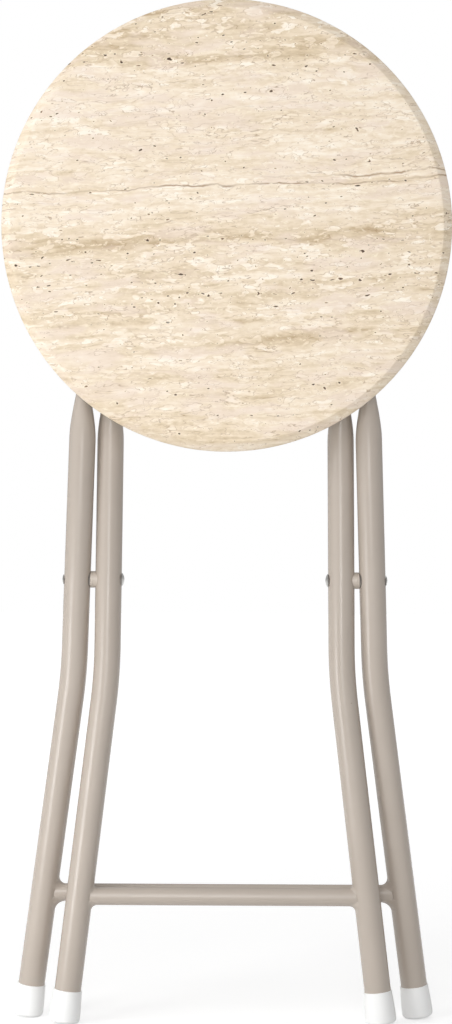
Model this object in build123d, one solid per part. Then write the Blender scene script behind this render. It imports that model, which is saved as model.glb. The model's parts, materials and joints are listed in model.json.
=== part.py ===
from build123d import *
import os
from math import asin, cos, degrees, pi, radians, sin, sqrt, tan

# Round folding stool, folded flat and standing upright on its four feet.
# Millimetres, +Z up, the seat faces -Y, X runs from left foot to right foot.
# Every piece is built with the scissor pivot at the origin and stood on the floor at the end.

# Seat
seat_diameter = 300.0
seat_thickness = 16.0
foil_thickness = 0.5
backing_thickness = 0.4
edge_round_width = 6.0
edge_round_depth = 8.0

# Tubes
leg_diameter = 18.0
leg_wall = 1.2
stretcher_diameter = 12.0
stretcher_wall = 1.0
knee_radius = 350.0
weld_size = 3.5

# Leg frames, measured down and out from the scissor pivot
pivot_height = 299.4
outer_pivot_x = 100.4
pivot_gap = 3.2
outer_upper_splay = radians(1.9)
outer_lower_splay = radians(7.6)
inner_upper_splay = radians(0.45)
inner_lower_splay = radians(6.7)
knee_drop = 64.0
stretcher_height = 85.0

# Flattened leg tops
taper_length = 57.0
outer_flat_below_hole = 14.0
inner_flat_below_hole = 8.0
lug_end_margin = 0.55

# Seat hinge and top rod
hinge_rise = 165.1
hinge_to_seat_centre = 72.4
rod_drop = 6.0
rod_diameter = 8.0
rod_neck_diameter = 6.0
rod_head_diameter = 10.0
rod_head_height = 2.0

# Rivets, washers and saddles
rivet_diameter = 6.0
pivot_head_diameter = 9.0
pivot_head_height = 1.5
pivot_head_gap = 0.2
hinge_head_diameter = 11.0
hinge_head_height = 2.2
washer_diameter = 14.0
washer_thickness = 0.8
saddle_diameter = 11.4

# Hinge brackets
bracket_sheet = 2.0
bracket_bend_radius = 3.0
bracket_ear_radius = 11.0
bracket_half_length = 17.0
bracket_flange_width = 17.0
bracket_screw_spread = 10.5
bracket_screw_inset = 10.5

# Rod clips
clip_x = 46.0
clip_width = 14.0
clip_base_thickness = 3.0
clip_half_length = 17.5
clip_ring_wall = 2.6
clip_post_width = 9.0
clip_mouth_width = 7.0
clip_screw_spread = 12.5

# Wood screws
screw_shank_diameter = 3.4
screw_length = 12.0
screw_head_diameter = 7.0
screw_head_height = 2.4

# Foot caps
cap_length = 21.5
cap_rim_wall = 0.6
cap_sole_wall = 1.5
cap_sole_round = 2.5
cap_floor = 5.0

# Clearances
running_clearance = 0.05
fixed_clearance = 0.02
face_clearance = 0.3
lug_clearance = 0.45
rod_seat_clearance = 0.3

# Sizes that follow from the ones above
leg_radius = leg_diameter / 2
rivet_radius = rivet_diameter / 2
inner_pivot_x = outer_pivot_x - leg_diameter - pivot_gap
rod_rise = hinge_rise - rod_drop
open_lean = asin(hinge_to_seat_centre / hinge_rise)
perimeter = pi * leg_diameter
lug_half_width = leg_wall + (perimeter - 2 * pi * leg_wall) / 4
lug_end_radius = lug_half_width + lug_end_margin
hinge_offset = lug_end_radius + lug_clearance
cap_bore_radius = leg_radius + fixed_clearance
cap_sole_radius = cap_bore_radius + cap_sole_wall
stretcher_drop = pivot_height - stretcher_height
fold_gap = leg_radius + stretcher_diameter / 2 + face_clearance
half_fold = asin(fold_gap / 2 / stretcher_drop)


def tube_along_x(radius, start, end, y=0.0, z=0.0):
    return Pos((start + end) / 2, y, z) * Rot(0, 90, 0) * Cylinder(radius, end - start)


def dome(radius, height):
    ball = (radius**2 + height**2) / (2 * height)
    half_angle = asin(radius / ball) / 2
    middle = (ball * sin(half_angle), height - ball + ball * cos(half_angle))
    outline = [
        Line((0, 0), (radius, 0)),
        ThreePointArc((radius, 0), middle, (0, height)),
        Line((0, height), (0, 0)),
    ]
    return revolve(Plane.XZ * make_face(outline), Axis.Z)


def rivet_along_x(radius, start, end, head_radius, head_height):
    shank = tube_along_x(radius, start, end)
    near_head = Pos(start, 0, 0) * Rot(0, -90, 0) * dome(head_radius, head_height)
    far_head = Pos(end, 0, 0) * Rot(0, 90, 0) * dome(head_radius, head_height)
    return shank + near_head + far_head


# Leg tubes
def leg_x(pivot_x, upper_splay, lower_splay, rise):
    if rise > -knee_drop:
        return pivot_x - rise * tan(upper_splay)
    knee_x = pivot_x + knee_drop * tan(upper_splay)
    return knee_x - (rise + knee_drop) * tan(lower_splay)


def sole_drop(lower_splay):
    # how far the lowest point of a tilted sole lies below the middle of the sole
    tilt_cosine = cos(lower_splay) * cos(half_fold)
    flat_radius = cap_sole_radius - cap_sole_round
    return flat_radius * sqrt(1 - tilt_cosine**2) + cap_sole_round * (1 - tilt_cosine)


def sole_rise(lower_splay):
    return -(pivot_height - sole_drop(lower_splay)) / cos(half_fold)


def tube_path(pivot_x, upper_splay, lower_splay, taper_rise):
    end_rise = sole_rise(lower_splay) + cap_floor * cos(lower_splay)
    rises = (end_rise, -knee_drop, taper_rise)
    points = [(leg_x(pivot_x, upper_splay, lower_splay, rise), rise) for rise in rises]
    return Plane.XZ * FilletPolyline(*points, radius=knee_radius)


def round_section(plane, radius):
    # a circle split where the flats of the pressed sections start
    turn = radians(15)
    x = radius * cos(turn)
    y = radius * sin(turn)
    outline = [
        ThreePointArc((x, -y), (radius, 0), (x, y)),
        ThreePointArc((x, y), (0, radius), (-x, y)),
        ThreePointArc((-x, y), (-radius, 0), (-x, -y)),
        ThreePointArc((-x, -y), (0, -radius), (x, -y)),
    ]
    return plane * make_face(outline)


def pressed_section(plane, half_thickness, outline_length):
    # a tube pressed between flat dies: flat sides, round ends, unchanged outline length
    flat = (outline_length - 2 * pi * half_thickness) / 4
    end = flat + half_thickness
    outline = [
        Line((half_thickness, -flat), (half_thickness, flat)),
        ThreePointArc((half_thickness, flat), (0, end), (-half_thickness, flat)),
        Line((-half_thickness, flat), (-half_thickness, -flat)),
        ThreePointArc((-half_thickness, -flat), (0, -end), (half_thickness, -flat)),
    ]
    return plane * make_face(outline)


def pressed_taper(path, lug_x, taper_rise, wall, shares):
    # wall is 0 for the outside of the tube and the wall thickness for its hollow
    direction = path % 1
    start = Plane(origin=path @ 1, x_dir=(direction.Z, 0, -direction.X), z_dir=direction)
    sections = [round_section(start, leg_radius - wall)]
    start_x = (path @ 1).X
    for share in shares:
        pressed = 3 * share**2 - 2 * share**3
        half_thickness = leg_radius - (leg_radius - leg_wall) * pressed
        x = start_x + (lug_x - start_x) * share
        plane = Plane(origin=(x, 0, taper_rise + taper_length * share))
        sections.append(pressed_section(plane, half_thickness - wall, perimeter - 2 * pi * wall))
    return loft(sections)


def flat_lug(lug_x, hole_rise, flat_below):
    base_rise = hole_rise - flat_below
    blank = extrude(
        pressed_section(Plane(origin=(lug_x, 0, base_rise)), leg_wall, perimeter),
        flat_below + lug_end_radius,
    )
    width = 2 * lug_end_radius + 2
    below_hole = Pos(lug_x, 0, hole_rise - flat_below / 2) * Box(width, width, flat_below)
    round_end = tube_along_x(lug_end_radius, lug_x - leg_radius, lug_x + leg_radius, 0, hole_rise)
    return blank & (below_hole + round_end)


def lug_centre_x(pivot_x, upper_splay, hole_rise, flat_below):
    taper_middle = hole_rise - flat_below - taper_length / 2
    return pivot_x - taper_middle * tan(upper_splay)


def leg(pivot_x, upper_splay, lower_splay, hole_rise, flat_below, hole_radius):
    # returns the drilled hollow leg and its undrilled outside, both for the right side
    taper_rise = hole_rise - flat_below - taper_length
    lug_x = lug_centre_x(pivot_x, upper_splay, hole_rise, flat_below)
    path = tube_path(pivot_x, upper_splay, lower_splay, taper_rise)
    foot_plane = Plane(origin=path @ 0, z_dir=path % 0)
    outside = sweep(foot_plane * Circle(leg_radius), path)
    outside += pressed_taper(path, lug_x, taper_rise, 0.0, (0.2, 0.4, 0.6, 0.8, 1.0))
    outside += flat_lug(lug_x, hole_rise, flat_below)
    hollow = sweep(foot_plane * Circle(leg_radius - leg_wall), path)
    hollow += pressed_taper(path, lug_x, taper_rise, leg_wall, (0.2, 0.4, 0.6, 0.8))
    top_hole = tube_along_x(hole_radius, lug_x - leg_radius, lug_x + leg_radius, 0, hole_rise)
    pivot_hole = tube_along_x(
        rivet_radius + running_clearance, pivot_x - leg_diameter, pivot_x + leg_diameter
    )
    return outside - hollow - top_hole - pivot_hole, outside


# Cross tubes and their welds
def stretcher(pivot_x, upper_splay, lower_splay, outsides):
    reach = leg_x(pivot_x, upper_splay, lower_splay, -stretcher_drop)
    radius = stretcher_diameter / 2
    tube = tube_along_x(radius, -reach, reach, 0, -stretcher_drop)
    tube -= tube_along_x(radius - stretcher_wall, -reach, reach, 0, -stretcher_drop)
    for outside in outsides:
        tube -= outside
    return tube


def weld(pivot_x, upper_splay, lower_splay):
    # right-hand bead: the corner between leg and stretcher, filled at a slope
    reach = leg_x(pivot_x, upper_splay, lower_splay, -stretcher_drop)
    leg_axis = (-sin(lower_splay), 0, cos(lower_splay))
    leg_plane = Plane(origin=(reach, 0, -stretcher_drop), z_dir=leg_axis)
    leg_piece = leg_plane * Cylinder(leg_radius, 6 * stretcher_diameter)
    bar = tube_along_x(stretcher_diameter / 2, reach - 3 * leg_diameter, reach, 0, -stretcher_drop)
    joined = leg_piece + bar
    corner = joined.edges().filter_by(GeomType.BSPLINE)
    return chamfer(corner, weld_size) - leg_piece - bar


# Foot caps
def foot_cap(pivot_x, upper_splay, lower_splay):
    rise = sole_rise(lower_splay)
    sole_centre = (leg_x(pivot_x, upper_splay, lower_splay, rise), 0, rise)
    outline = Polyline(
        (0, 0),
        (cap_sole_radius, 0),
        (cap_sole_radius, cap_floor + cap_sole_round),
        (cap_bore_radius + cap_rim_wall, cap_length),
        (cap_bore_radius, cap_length),
        (cap_bore_radius, cap_floor),
        (0, cap_floor),
        close=True,
    )
    cap = revolve(Plane.XZ * make_face(outline), Axis.Z)
    sole_edge = cap.edges().filter_by(GeomType.CIRCLE).sort_by(Axis.Z)[0]
    cap = fillet(sole_edge, cap_sole_round)
    axis = (-sin(lower_splay), 0, cos(lower_splay))
    return Plane(origin=sole_centre, z_dir=axis) * cap


# Scissor pivot
def pivot_rivet():
    side_gap = leg_radius + pivot_head_gap
    start = inner_pivot_x - side_gap
    end = outer_pivot_x + side_gap
    return rivet_along_x(rivet_radius, start, end, pivot_head_diameter / 2, pivot_head_height)


def pivot_saddle(pivot_x, outside):
    middle_x = (outer_pivot_x + inner_pivot_x) / 2
    toward_leg = 1 if pivot_x > middle_x else -1
    ends = sorted((middle_x + toward_leg * face_clearance / 2, pivot_x))
    disc = tube_along_x(saddle_diameter / 2, ends[0], ends[1])
    bore = tube_along_x(rivet_radius + running_clearance, ends[0], ends[1])
    return disc - bore - outside


# Seat hinge
def hinge_stack():
    # positions along X, from the flattened leg top outwards to the far side of the bracket
    lug_x = lug_centre_x(outer_pivot_x, outer_upper_splay, hinge_rise, outer_flat_below_hole)
    lug_face = lug_x + leg_wall
    washer_start = lug_face + running_clearance
    ear_start = washer_start + washer_thickness + face_clearance
    return lug_face, washer_start, ear_start


def hinge_rivet():
    lug_face, washer_start, ear_start = hinge_stack()
    start = lug_face - 2 * leg_wall - running_clearance
    end = ear_start + bracket_sheet + face_clearance
    rivet = rivet_along_x(rivet_radius, start, end, hinge_head_diameter / 2, hinge_head_height)
    return Pos(0, 0, hinge_rise) * rivet


def hinge_washer():
    lug_face, washer_start, ear_start = hinge_stack()
    washer_end = washer_start + washer_thickness
    disc = tube_along_x(washer_diameter / 2, washer_start, washer_end, 0, hinge_rise)
    return disc - tube_along_x(rivet_radius + fixed_clearance, washer_start, washer_end, 0, hinge_rise)


def bracket_screw_places():
    x = hinge_stack()[2] + bracket_screw_inset
    spreads = (-bracket_screw_spread, bracket_screw_spread)
    return [(x, hinge_rise + spread, bracket_sheet) for spread in spreads]


def hinge_bracket():
    ear_start = hinge_stack()[2]
    # the ear is drawn with Y and Z as its axes and given its sheet thickness along X
    foot = Polyline(
        (-hinge_offset, -bracket_half_length),
        (0, -bracket_ear_radius),
        (0, bracket_ear_radius),
        (-hinge_offset, bracket_half_length),
        close=True,
    )
    ear_outline = make_face(foot) + Circle(bracket_ear_radius)
    ear_outline -= Circle(rivet_radius + running_clearance)
    ear_plane = Plane(origin=(ear_start, 0, hinge_rise), x_dir=(0, 1, 0), z_dir=(1, 0, 0))
    ear = extrude(ear_plane * ear_outline, bracket_sheet)
    flange = Pos(
        ear_start + bracket_flange_width / 2, -hinge_offset + bracket_sheet / 2, hinge_rise
    ) * Box(bracket_flange_width, bracket_sheet, 2 * bracket_half_length)
    far_corners = flange.edges().filter_by(Axis.Y).group_by(Axis.X)[-1]
    flange = fillet(far_corners, bracket_flange_width / 4)
    bracket = ear + flange
    bend = bracket.edges().filter_by(Axis.Z).group_by(Axis.Y)[0].sort_by(Axis.X)[0]
    bracket = fillet(bend, bracket_bend_radius)
    for place in bracket_screw_places():
        bracket -= screw_hole(place, screw_shank_diameter / 2 + face_clearance)
    return bracket


# Screws into the seat from its underside, placed by X, Z and the thickness of what they hold
def screw_frame(place):
    x, z, held_thickness = place
    return Pos(x, -hinge_offset + held_thickness + fixed_clearance, z) * Rot(-90, 0, 0)


def screw_hole(place, radius):
    return screw_frame(place) * Pos(0, 0, -screw_length / 2) * Cylinder(radius, screw_length)


def screw(place):
    head = dome(screw_head_diameter / 2, screw_head_height)
    return screw_hole(place, screw_shank_diameter / 2) + screw_frame(place) * head


# Top rod and the clips that hold it when the stool is open
def top_rod():
    lug_x = lug_centre_x(inner_pivot_x, inner_upper_splay, rod_rise, inner_flat_below_hole)
    shoulder = lug_x - leg_wall - running_clearance
    head_start = lug_x + leg_wall + running_clearance
    rod = tube_along_x(rod_diameter / 2, -shoulder, shoulder)
    rod += rivet_along_x(
        rod_neck_diameter / 2, -head_start, head_start, rod_head_diameter / 2, rod_head_height
    )
    return Pos(0, 0, rod_rise) * rod


def clip_centre():
    # where the rod lies when the stool is open, with the seat still folded up
    y = rod_drop * cos(open_lean)
    z = hinge_rise + (hinge_rise + rod_rise) * sin(open_lean)
    return y, z


def clip_screw_places():
    y, z = clip_centre()
    spreads = (-clip_screw_spread, clip_screw_spread)
    return [(clip_x, z + spread, clip_base_thickness) for spread in spreads]


def rod_clip():
    y, z = clip_centre()
    bore_radius = rod_diameter / 2 + rod_seat_clearance
    ring_radius = bore_radius + clip_ring_wall
    depth = hinge_offset + y
    # drawn with the rod centre at the origin, first axis away from the seat
    base = Rectangle(clip_base_thickness, 2 * clip_half_length)
    base = Pos(-depth + clip_base_thickness / 2, 0) * base
    post = Pos(-depth / 2, 0) * Rectangle(depth, clip_post_width)
    mouth = Pos(ring_radius / 2, 0) * Rectangle(ring_radius, clip_mouth_width)
    outline = base + post + Circle(ring_radius) - Circle(bore_radius) - mouth
    start = Plane(origin=(clip_x - clip_width / 2, y, z), x_dir=(0, 1, 0), z_dir=(1, 0, 0))
    clip = extrude(start * outline, clip_width)
    for place in clip_screw_places():
        clip -= screw_hole(place, screw_shank_diameter / 2 + face_clearance)
    return clip


# Seat board, its printed foil and its backing sheet
def seat_blank(radius, base, top, edge_radius, edge_top):
    # a disc with an upper edge rounded by an arc that meets the face at a slight angle
    centre_x = radius - edge_radius
    centre_z = top - edge_top
    face_x = centre_x + sqrt(edge_radius**2 - edge_top**2)
    middle_angle = asin(edge_top / edge_radius) / 2
    middle = (centre_x + edge_radius * cos(middle_angle), centre_z + edge_radius * sin(middle_angle))
    outline = [
        Line((0, base), (radius, base)),
        Line((radius, base), (radius, centre_z)),
        ThreePointArc((radius, centre_z), middle, (face_x, top)),
        Line((face_x, top), (0, top)),
        Line((0, top), (0, base)),
    ]
    return revolve(Plane.XZ * make_face(outline), Axis.Z)


def seat_pieces(screw_places):
    radius = seat_diameter / 2
    edge_radius = (edge_round_width**2 + edge_round_depth**2) / (2 * edge_round_width)
    inside = (
        radius - foil_thickness,
        seat_thickness - foil_thickness,
        edge_radius - foil_thickness,
        edge_round_depth - foil_thickness,
    )
    outer = seat_blank(radius, 0, seat_thickness, edge_radius, edge_round_depth)
    foil = outer - seat_blank(inside[0], -1, inside[1], inside[2], inside[3])
    core = seat_blank(inside[0], backing_thickness, inside[1], inside[2], inside[3])
    backing = Pos(0, 0, backing_thickness / 2) * Cylinder(inside[0], backing_thickness)
    place = Pos(0, -hinge_offset, hinge_rise + hinge_to_seat_centre) * Rot(90, 0, 0)
    foil = place * foil
    core = place * core
    backing = place * backing
    for place in screw_places:
        hole = screw_hole(place, screw_shank_diameter / 2)
        core -= hole
        backing -= hole
    return core, foil, backing


def left_of(shape):
    return mirror(shape, about=Plane.YZ)


def both(shape):
    return [shape, left_of(shape)]


outer_sizes = (outer_pivot_x, outer_upper_splay, outer_lower_splay)
inner_sizes = (inner_pivot_x, inner_upper_splay, inner_lower_splay)
hinge_hole = rivet_radius + running_clearance
rod_hole = rod_neck_diameter / 2 + running_clearance

outer_leg, outer_outside = leg(*outer_sizes, hinge_rise, outer_flat_below_hole, hinge_hole)
inner_leg, inner_outside = leg(*inner_sizes, rod_rise, inner_flat_below_hole, rod_hole)
outer_saddle = pivot_saddle(outer_pivot_x, outer_outside)
inner_saddle = pivot_saddle(inner_pivot_x, inner_outside)
outer_cap = foot_cap(*outer_sizes)
inner_cap = foot_cap(*inner_sizes)
bracket = hinge_bracket()
clip = rod_clip()
bracket_screws = [screw(place) for place in bracket_screw_places()]
clip_screws = [screw(place) for place in clip_screw_places()]
right_screw_places = bracket_screw_places() + clip_screw_places()
screw_places = right_screw_places + [(-x, z, held) for x, z, held in right_screw_places]
seat_core, seat_foil, seat_backing = seat_pieces(screw_places)

# Pieces that lean with the outer frame, the seat being folded against it
outer_nodes = {
    "outer_leg_right": [outer_leg],
    "outer_leg_left": [left_of(outer_leg)],
    "outer_stretcher": [stretcher(*outer_sizes, both(outer_outside))],
    "outer_welds": both(weld(*outer_sizes)),
    "outer_cap_right": [outer_cap],
    "outer_cap_left": [left_of(outer_cap)],
    "outer_saddle_right": [outer_saddle],
    "outer_saddle_left": [left_of(outer_saddle)],
    "pivot_rivets": both(pivot_rivet()),
    "hinge_rivets": both(hinge_rivet()),
    "hinge_washers": both(hinge_washer()),
    "hinge_bracket_right": [bracket],
    "hinge_bracket_left": [left_of(bracket)],
    "bracket_screws": [piece for item in bracket_screws for piece in both(item)],
    "rod_clip_right": [clip],
    "rod_clip_left": [left_of(clip)],
    "clip_screws": [piece for item in clip_screws for piece in both(item)],
    "seat_core": [seat_core],
    "seat_foil": [seat_foil],
    "seat_backing": [seat_backing],
}
# Pieces that lean with the inner frame
inner_nodes = {
    "inner_leg_right": [inner_leg],
    "inner_leg_left": [left_of(inner_leg)],
    "inner_stretcher": [stretcher(*inner_sizes, both(inner_outside))],
    "inner_welds": both(weld(*inner_sizes)),
    "inner_cap_right": [inner_cap],
    "inner_cap_left": [left_of(inner_cap)],
    "inner_saddle_right": [inner_saddle],
    "inner_saddle_left": [left_of(inner_saddle)],
    "top_rod": [top_rod()],
}

lean = degrees(half_fold)
leaning = {name: [Rot(lean, 0, 0) * s for s in solids] for name, solids in outer_nodes.items()}
leaning |= {name: [Rot(-lean, 0, 0) * s for s in solids] for name, solids in inner_nodes.items()}

# The folded stool's box stands on the floor, centred front to back
box = Compound([s for solids in leaning.values() for s in solids]).bounding_box()
pivot_y = -(box.min.Y + box.max.Y) / 2
stand = Pos(0, pivot_y, pivot_height)

os.makedirs("parts", exist_ok=True)
for name, solids in leaning.items():
    placed = [stand * s for s in solids]
    shape = placed[0] if len(placed) == 1 else Compound(placed)
    export_step(shape, f"parts/{name}.step")

hinge_y = pivot_y - hinge_rise * sin(half_fold)
hinge_z = pivot_height + hinge_rise * cos(half_fold)
print("pivot axis y, z", round(pivot_y, 4), pivot_height)
print("hinge axis y, z", round(hinge_y, 4), round(hinge_z, 4))
print("open angles: scissor", round(degrees(2 * open_lean - 2 * half_fold), 4),
      "seat", round(90 + degrees(open_lean), 4))
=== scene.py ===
import bmesh
import bpy
import json
import math
from mathutils import Matrix, Vector


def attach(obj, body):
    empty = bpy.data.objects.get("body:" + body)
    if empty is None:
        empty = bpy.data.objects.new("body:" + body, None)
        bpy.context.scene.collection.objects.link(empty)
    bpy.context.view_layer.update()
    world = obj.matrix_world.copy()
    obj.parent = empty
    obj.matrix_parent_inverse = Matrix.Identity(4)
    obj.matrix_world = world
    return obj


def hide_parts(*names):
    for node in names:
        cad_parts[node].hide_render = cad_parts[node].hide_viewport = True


# Folding stool, folded and standing. Sizes are in millimetres, measured from the scissor pivot.
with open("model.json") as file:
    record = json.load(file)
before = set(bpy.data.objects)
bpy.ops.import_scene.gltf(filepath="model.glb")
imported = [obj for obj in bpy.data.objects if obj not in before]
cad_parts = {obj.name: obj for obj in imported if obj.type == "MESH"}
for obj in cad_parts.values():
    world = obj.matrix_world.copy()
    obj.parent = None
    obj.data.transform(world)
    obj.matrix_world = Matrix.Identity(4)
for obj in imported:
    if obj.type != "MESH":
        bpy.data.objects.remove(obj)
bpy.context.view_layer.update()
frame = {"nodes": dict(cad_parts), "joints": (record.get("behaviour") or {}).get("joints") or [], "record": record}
joints = {joint["name"]: joint for joint in frame["joints"]}
pivot = Vector(joints["leg_scissor"]["pos_m"])
hinge = Vector(joints["seat_hinge"]["pos_m"])
lean = math.atan2(pivot.y - hinge.y, hinge.z - pivot.z)  # each folded frame leans by this much
standing = Matrix.Translation(pivot)
toMetres = Matrix.Scale(0.001, 4)
places = {
    "outer_frame": standing @ Matrix.Rotation(lean, 4, "X") @ toMetres,
    "inner_frame": standing @ Matrix.Rotation(-lean, 4, "X") @ toMetres,
    "seat": standing @ Matrix.Rotation(lean, 4, "X") @ toMetres,  # folded against the outer frame
}
print("frame loaded, lean", round(math.degrees(lean), 3))


def linear(hexColour):
    channels = [int(hexColour[i:i + 2], 16) / 255 for i in (1, 3, 5)]
    return [c / 12.92 if c <= 0.04045 else ((c + 0.055) / 1.055) ** 2.4 for c in channels] + [1.0]


def addNode(tree, kind, settings=None, inputs=None):
    if not kind.startswith(("Geometry", "Function", "NodeGroup")):
        kind = "ShaderNode" + kind
    node = tree.nodes.new(kind)
    if isinstance(settings, str):  # a single word names the node's operation
        settings = {"operation": settings}
    for name, value in (settings or {}).items():
        if name == "stops":  # a colour ramp's list of positions and colours
            ramp = node.color_ramp.elements
            while len(ramp) < len(value):
                ramp.new(1.0)
            for element, (position, colour) in zip(ramp, value):
                element.position = position
                element.color = colour
        else:
            setattr(node, name, value)
    for key, value in (inputs or {}).items():
        if isinstance(value, bpy.types.Node):
            value = value.outputs[0]
        elif isinstance(value, tuple) and isinstance(value[0], bpy.types.Node):
            value = value[0].outputs[value[1]]
        if isinstance(value, bpy.types.NodeSocket):
            tree.links.new(value, node.inputs[key])
        else:
            node.inputs[key].default_value = value
    return node


smooth = {"interpolation_type": "SMOOTHSTEP"}


def newMaterial(name):
    material = bpy.data.materials.new(name)
    material.use_nodes = True
    tree = material.node_tree
    tree.nodes.clear()
    shader = addNode(tree, "BsdfPrincipled")
    addNode(tree, "OutputMaterial", inputs={"Surface": shader})
    return material, tree, shader


# Printed travertine film over the board: satin, cream with tan layers, thin veins and small dark pits.
def travertineFilm():
    material, tree, shader = newMaterial("travertineFilmSatinPrint")
    film = {
        "tones": [(0.0, "#BFA583"), (0.2, "#D2BC9B"), (0.4, "#E3D0B3"), (0.6, "#EFDEC6"), (0.8, "#F7E9D5"),
                  (1.0, "#FEF4E5")],
        "blush": "#EDDBCC", "vein": "#A28058", "halo": "#FFF4DE", "rust": "#A67C48", "pit": "#42280F",
        "slope": -0.042,  # layers climb to the right
        # millimetres along and across the layers, then how far the pattern sways or how strong it is
        "waves": [((95.0, 38.0), 5.0), ((26.0, 12.0), 1.6), ((9.0, 6.0), 0.6)],
        "clouds": [((80.0, 9.0), 0.5), ((120.0, 3.6), 0.6), ((22.0, 3.6), 0.85), ((6.5, 2.4), 0.6),
                   ((2.4, 1.4), 0.25)],
        "patch": (90.0, 16.0), "warm": (34.0, 10.0), "contour": (75.0, 11.0),
        "flecks": [((13.0, 4.8), 0.57, 0.38), ((5.0, 2.5), 0.63, 0.36)],  # noise limit, and how much paler
        "wander": [((40.0, 300.0), 2.6), ((8.0, 300.0), 1.2)],
        "veins": [(27.0, (-400.0, -300.0)), (31.0, (10.0, 90.0))],  # height, and where it comes in
        "pits": [((4.6, 2.7), 0.795, 0.735), ((9.0, 3.4), 0.83, 0.78)],  # noise limits: few, many
        "pitRings": [("halo", -0.10, -0.02, 0.7), ("rust", -0.03, -0.01, 0.8), ("pit", -0.01, 0.02, 1.0)],
        "base": 0.70, "fleckEdge": 0.035, "rimShift": 0.012, "rimWidth": 0.016,
        "lineStep": 0.05, "lineWidth": 0.005, "gloss": (0.44, 0.52),
    }
    lay = addNode(tree, "Attribute", {"attribute_name": "printLay"})
    split = addNode(tree, "SeparateXYZ", inputs={0: (lay, "Vector")})

    def stretched(size, across, shift):  # coordinates in units of one pattern cell
        u = addNode(tree, "Math", "DIVIDE", {0: split, 1: size[0]})
        v = addNode(tree, "Math", "DIVIDE", {0: across, 1: size[1]})
        return addNode(tree, "CombineXYZ", inputs={0: u, 1: v, 2: shift})

    def noise(size, across, shift, detail=2.0):
        return addNode(tree, "TexNoise", inputs={
            "Vector": stretched(size, across, shift), "Scale": 1.0, "Detail": detail, "Roughness": 0.55})

    def added(pattern, strength, total):  # total plus the pattern's swing about its middle
        centred = addNode(tree, "Math", "SUBTRACT", {0: pattern, 1: 0.5})
        return addNode(tree, "Math", "MULTIPLY_ADD", {0: centred, 1: strength, 2: total})

    def blended(share, below, colour):
        return addNode(tree, "Mix", {"data_type": "RGBA"}, {0: share, 6: below, 7: linear(colour)})

    level = addNode(tree, "Math", "MULTIPLY_ADD", {0: split, 1: film["slope"], 2: (split, 1)})
    for number, (size, sway) in enumerate(film["waves"]):
        level = added(noise(size, (split, 1), 3.1 + number), 2 * sway, level)

    # beds of the stone from the seat's foot up: height from its centre, then how tan, pitted and flecked
    beds = [(-155, 0.46, 0.5, 0.4), (-85, 0.38, 0.4, 0.5), (-77, 0.60, 0.4, 0.7), (-66, 0.37, 0.5, 0.5),
            (-51, 0.52, 1.0, 0.9), (-17, 0.34, 0.9, 0.7), (-13, 0.67, 0.5, 0.9), (-5, 0.67, 0.5, 0.9),
            (8, 0.10, 0.5, 0.3), (30, 0.08, 0.7, 0.6), (37, 0.28, 0.6, 0.5), (46, 0.14, 0.3, 0.4),
            (100, 0.15, 0.7, 0.5), (105, 0.16, 1.0, 0.6), (109, 0.85, 1.0, 0.7), (114, 0.85, 0.8, 0.9),
            (130, 0.62, 0.6, 1.0)]
    span = 320.0
    stops = [((height + span / 2) / span, (tan, pitted, flecked, 1.0))
             for height, tan, pitted, flecked in beds]
    share = addNode(tree, "Math", "MULTIPLY_ADD", {0: level, 1: 1 / span, 2: 0.5})
    layers = addNode(tree, "ValToRGB", {"stops": stops}, {0: share})
    layers = addNode(tree, "SeparateColor", inputs={0: layers})
    patches = noise(film["patch"], level, 5.9, 4.0)
    patchy = addNode(tree, "MapRange", inputs={0: patches, 1: 0.36, 2: 0.64, 3: 0.1, 4: 0.62})
    bands = addNode(tree, "Math", "MULTIPLY", {0: layers, 1: patchy})

    tone = addNode(tree, "Math", "SUBTRACT", {0: film["base"], 1: bands})
    clouds = []
    for number, (size, strength) in enumerate(film["clouds"]):
        clouds.append(noise(size, level, 1.3 + number))
        tone = added(clouds[-1], strength, tone)
    rims = []
    for number, (size, limit, lift) in enumerate(film["flecks"]):
        fleck = noise(size, level, 9.4 + number)
        pale = addNode(tree, "MapRange", smooth,
                       {0: fleck, 1: limit, 2: limit + film["fleckEdge"], 3: 0.0, 4: lift})
        tone = addNode(tree, "Math", "MULTIPLY_ADD", {0: pale, 1: (layers, 2), 2: tone})
        offRim = addNode(tree, "Math", "SUBTRACT", {0: fleck, 1: limit - film["rimShift"]})
        offRim = addNode(tree, "Math", "ABSOLUTE", {0: offRim})
        rims.append(addNode(tree, "MapRange", smooth,
                            {0: offRim, 1: 0.0, 2: film["rimWidth"], 3: 1.0, 4: 0.0}))
    body = addNode(tree, "ValToRGB", {
        "stops": [(position, linear(colour)) for position, colour in film["tones"]]}, {0: tone})
    warm = addNode(tree, "MapRange", inputs={
        0: noise(film["warm"], level, 7.7), 1: 0.50, 2: 0.64, 3: 0.0, 4: 0.55})
    body = blended(warm, body, film["blush"])

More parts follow.
